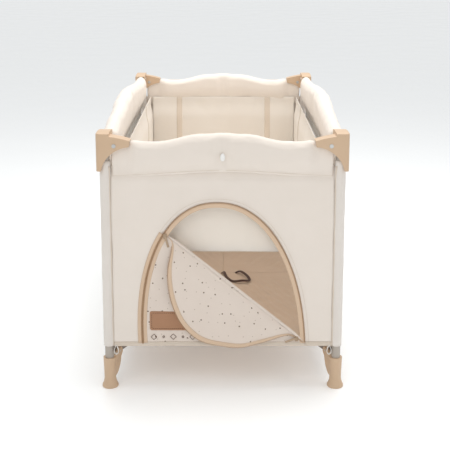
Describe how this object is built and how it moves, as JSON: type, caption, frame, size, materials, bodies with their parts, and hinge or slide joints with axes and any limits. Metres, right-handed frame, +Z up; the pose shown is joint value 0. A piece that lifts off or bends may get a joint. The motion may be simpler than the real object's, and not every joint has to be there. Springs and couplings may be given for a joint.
{
  "type": "folding playpen",
  "caption": "Folding travel cot with padded rails, mesh sides, an arched zip door folded open, an upper level and a lifting hub that folds the frame.",
  "frame": {"origin": "on the floor, in the middle between the four feet", "axes": "+Z up, +Y along the cot away from the door end, +X across it"},
  "size_m": [0.6844, 1.2644, 0.762],
  "materials": {
    "cap_plastic": "satin moulded plastic",
    "foot_plastic": "satin moulded plastic",
    "frame_steel": "satin enamel",
    "rivet_steel": "plain",
    "latch_plastic": "satin moulded plastic",
    "hub_plastic": "satin moulded plastic",
    "webbing": "woven webbing",
    "cream_cloth": "plain woven",
    "tan_cloth": "plain woven",
    "mesh_cloth": "open knitted mesh",
    "mattress_cloth": "quilted"
  },
  "bodies": {
    "corner_front_left": {"leg_front_left": "frame_steel", "foot_front_left": "foot_plastic", "cap_front_left": "cap_plastic", "rivets_front_left": "rivet_steel", "panel_door_end": "cream_cloth", "panel_left": "cream_cloth", "mesh_left": "mesh_cloth", "zip_sliders": "rivet_steel", "upper_level": "cream_cloth"},
    "arm_front_left": {"arm_front_left": "frame_steel"},
    "corner_front_right": {"leg_front_right": "frame_steel", "foot_front_right": "foot_plastic", "cap_front_right": "cap_plastic", "rivets_front_right": "rivet_steel", "panel_right": "cream_cloth", "mesh_right": "mesh_cloth"},
    "arm_front_right": {"arm_front_right": "frame_steel"},
    "corner_back_right": {"leg_back_right": "frame_steel", "foot_back_right": "foot_plastic", "cap_back_right": "cap_plastic", "rivets_back_right": "rivet_steel", "panel_far_end": "cream_cloth"},
    "arm_back_right": {"arm_back_right": "frame_steel"},
    "corner_back_left": {"leg_back_left": "frame_steel", "foot_back_left": "foot_plastic", "cap_back_left": "cap_plastic", "rivets_back_left": "rivet_steel"},
    "arm_back_left": {"arm_back_left": "frame_steel"},
    "hub": {"hub": "hub_plastic", "hub_pins": "rivet_steel", "hub_pull_loop": "webbing", "lower_floor": "tan_cloth"},
    "door_flap": {"door_flap": "cream_cloth"},
    "mattress": {"mattress": "mattress_cloth"},
    "rail_front_first": {"end_rail_front_left": "frame_steel", "rail_cover_front": "cream_cloth"},
    "latch_front": {"latch_front": "latch_plastic", "latch_pins_front": "rivet_steel"},
    "rail_front_second": {"end_rail_front_right": "frame_steel"},
    "button_front": {"latch_button_front": "latch_plastic"},
    "rail_right_first": {"side_rail_front_right": "frame_steel", "rail_cover_right": "cream_cloth"},
    "latch_right": {"latch_right": "latch_plastic", "latch_pins_right": "rivet_steel"},
    "rail_right_second": {"side_rail_back_right": "frame_steel"},
    "button_right": {"latch_button_right": "latch_plastic"},
    "rail_back_first": {"end_rail_back_right": "frame_steel", "rail_cover_back": "cream_cloth"},
    "latch_back": {"latch_back": "latch_plastic", "latch_pins_back": "rivet_steel"},
    "rail_back_second": {"end_rail_back_left": "frame_steel"},
    "button_back": {"latch_button_back": "latch_plastic"},
    "rail_left_first": {"side_rail_back_left": "frame_steel", "rail_cover_left": "cream_cloth"},
    "latch_left": {"latch_left": "latch_plastic", "latch_pins_left": "rivet_steel"},
    "rail_left_second": {"side_rail_front_left": "frame_steel"},
    "button_left": {"latch_button_left": "latch_plastic"}
  },
  "joints": [
    {"name": "fold", "type": "hinge", "parent": "corner_front_left", "child": "arm_front_left", "pos_m": [-0.30335, -0.57732, 0.095], "axis": [0.9024, -0.4309, 0], "range_deg": [0, 85], "deforming": ["rail_cover_front", "rail_cover_back", "rail_cover_left", "rail_cover_right", "panel_door_end", "panel_far_end", "panel_left", "panel_right", "mesh_left", "mesh_right", "zip_sliders", "upper_level", "lower_floor", "door_flap", "mattress"]},
    {"name": "hub_on_first_arm", "type": "hinge", "parent": "arm_front_left", "child": "hub", "pos_m": [-0.03835, -0.02232, 0.095], "axis": [-0.9024, 0.4309, 0], "range_deg": [0, 85]},
    {"name": "arm_front_right_on_hub", "type": "hinge", "parent": "hub", "child": "arm_front_right", "pos_m": [0.03835, -0.02232, 0.095], "axis": [0.9024, 0.4309, 0], "range_deg": [0, 85]},
    {"name": "corner_front_right_on_arm", "type": "hinge", "parent": "arm_front_right", "child": "corner_front_right", "pos_m": [0.30335, -0.57732, 0.095], "axis": [-0.9024, -0.4309, 0], "range_deg": [0, 85]},
    {"name": "arm_back_right_on_hub", "type": "hinge", "parent": "hub", "child": "arm_back_right", "pos_m": [0.03835, 0.02232, 0.095], "axis": [-0.9024, 0.4309, 0], "range_deg": [0, 85]},
    {"name": "corner_back_right_on_arm", "type": "hinge", "parent": "arm_back_right", "child": "corner_back_right", "pos_m": [0.30335, 0.57732, 0.095], "axis": [0.9024, -0.4309, 0], "range_deg": [0, 85]},
    {"name": "arm_back_left_on_hub", "type": "hinge", "parent": "hub", "child": "arm_back_left", "pos_m": [-0.03835, 0.02232, 0.095], "axis": [-0.9024, -0.4309, 0], "range_deg": [0, 85]},
    {"name": "corner_back_left_on_arm", "type": "hinge", "parent": "arm_back_left", "child": "corner_back_left", "pos_m": [-0.30335, 0.57732, 0.095], "axis": [0.9024, 0.4309, 0], "range_deg": [0, 85]},
    {"name": "rail_front_on_corner", "type": "hinge", "parent": "corner_front_left", "child": "rail_front_first", "pos_m": [-0.291, -0.608, 0.698], "axis": [0, 1, 0], "range_deg": [0, 85]},
    {"name": "latch_front_on_rail", "type": "hinge", "parent": "rail_front_first", "child": "latch_front", "pos_m": [-0.026, -0.608, 0.698], "axis": [0, -1, 0], "range_deg": [0, 85]},
    {"name": "rail_front_on_latch", "type": "hinge", "parent": "latch_front", "child": "rail_front_second", "pos_m": [0.026, -0.608, 0.698], "axis": [0, -1, 0], "range_deg": [0, 85]},
    {"name": "button_front_press", "type": "slide", "parent": "latch_front", "child": "button_front", "axis": [0, 0, 1], "range_m": [0, 0.006], "stiffness_N_per_m": 900, "springref_m": -0.004},
    {"name": "rail_right_on_corner", "type": "hinge", "parent": "corner_front_right", "child": "rail_right_first", "pos_m": [0.318, -0.581, 0.712], "axis": [-1, 0, 0], "range_deg": [0, 85]},
    {"name": "latch_right_on_rail", "type": "hinge", "parent": "rail_right_first", "child": "latch_right", "pos_m": [0.318, -0.026, 0.712], "axis": [1, 0, 0], "range_deg": [0, 85]},
    {"name": "rail_right_on_latch", "type": "hinge", "parent": "latch_right", "child": "rail_right_second", "pos_m": [0.318, 0.026, 0.712], "axis": [1, 0, 0], "range_deg": [0, 85]},
    {"name": "button_right_press", "type": "slide", "parent": "latch_right", "child": "button_right", "axis": [0, 0, 1], "range_m": [0, 0.006], "stiffness_N_per_m": 900, "springref_m": -0.004},
    {"name": "rail_back_on_corner", "type": "hinge", "parent": "corner_back_right", "child": "rail_back_first", "pos_m": [0.291, 0.608, 0.698], "axis": [0, -1, 0], "range_deg": [0, 85]},
    {"name": "latch_back_on_rail", "type": "hinge", "parent": "rail_back_first", "child": "latch_back", "pos_m": [0.026, 0.608, 0.698], "axis": [0, 1, 0], "range_deg": [0, 85]},
    {"name": "rail_back_on_latch", "type": "hinge", "parent": "latch_back", "child": "rail_back_second", "pos_m": [-0.026, 0.608, 0.698], "axis": [0, 1, 0], "range_deg": [0, 85]},
    {"name": "button_back_press", "type": "slide", "parent": "latch_back", "child": "button_back", "axis": [0, 0, 1], "range_m": [0, 0.006], "stiffness_N_per_m": 900, "springref_m": -0.004},
    {"name": "rail_left_on_corner", "type": "hinge", "parent": "corner_back_left", "child": "rail_left_first", "pos_m": [-0.318, 0.581, 0.712], "axis": [1, 0, 0], "range_deg": [0, 85]},
    {"name": "latch_left_on_rail", "type": "hinge", "parent": "rail_left_first", "child": "latch_left", "pos_m": [-0.318, 0.026, 0.712], "axis": [-1, 0, 0], "range_deg": [0, 85]},
    {"name": "rail_left_on_latch", "type": "hinge", "parent": "latch_left", "child": "rail_left_second", "pos_m": [-0.318, -0.026, 0.712], "axis": [-1, 0, 0], "range_deg": [0, 85]},
    {"name": "button_left_press", "type": "slide", "parent": "latch_left", "child": "button_left", "axis": [0, 0, 1], "range_m": [0, 0.006], "stiffness_N_per_m": 900, "springref_m": -0.004},
    {"name": "door_fold", "type": "hinge", "parent": "corner_front_left", "child": "door_flap", "pos_m": [0.027, -0.6175, 0.2977], "axis": [-0.7796, 0, 0.6263], "range_deg": [0, 180]},
    {"name": "mattress_lift", "type": "slide", "parent": "corner_front_left", "child": "mattress", "axis": [0, 0, 1], "range_m": [0, 0.38]}
  ],
  "couplings": [
    {"joint": "hub_on_first_arm", "follows": "fold", "ratio": 1},
    {"joint": "arm_front_right_on_hub", "follows": "fold", "ratio": 1},
    {"joint": "corner_front_right_on_arm", "follows": "fold", "ratio": 1},
    {"joint": "arm_back_right_on_hub", "follows": "fold", "ratio": 1},
    {"joint": "corner_back_right_on_arm", "follows": "fold", "ratio": 1},
    {"joint": "arm_back_left_on_hub", "follows": "fold", "ratio": 1},
    {"joint": "corner_back_left_on_arm", "follows": "fold", "ratio": 1},
    {"joint": "rail_front_on_corner", "follows": "fold", "ratio": 1},
    {"joint": "latch_front_on_rail", "follows": "fold", "ratio": 1},
    {"joint": "rail_front_on_latch", "follows": "fold", "ratio": 1},
    {"joint": "rail_right_on_corner", "follows": "fold", "ratio": 1},
    {"joint": "latch_right_on_rail", "follows": "fold", "ratio": 1},
    {"joint": "rail_right_on_latch", "follows": "fold", "ratio": 1},
    {"joint": "rail_back_on_corner", "follows": "fold", "ratio": 1},
    {"joint": "latch_back_on_rail", "follows": "fold", "ratio": 1},
    {"joint": "rail_back_on_latch", "follows": "fold", "ratio": 1},
    {"joint": "rail_left_on_corner", "follows": "fold", "ratio": 1},
    {"joint": "latch_left_on_rail", "follows": "fold", "ratio": 1},
    {"joint": "rail_left_on_latch", "follows": "fold", "ratio": 1}
  ]
}
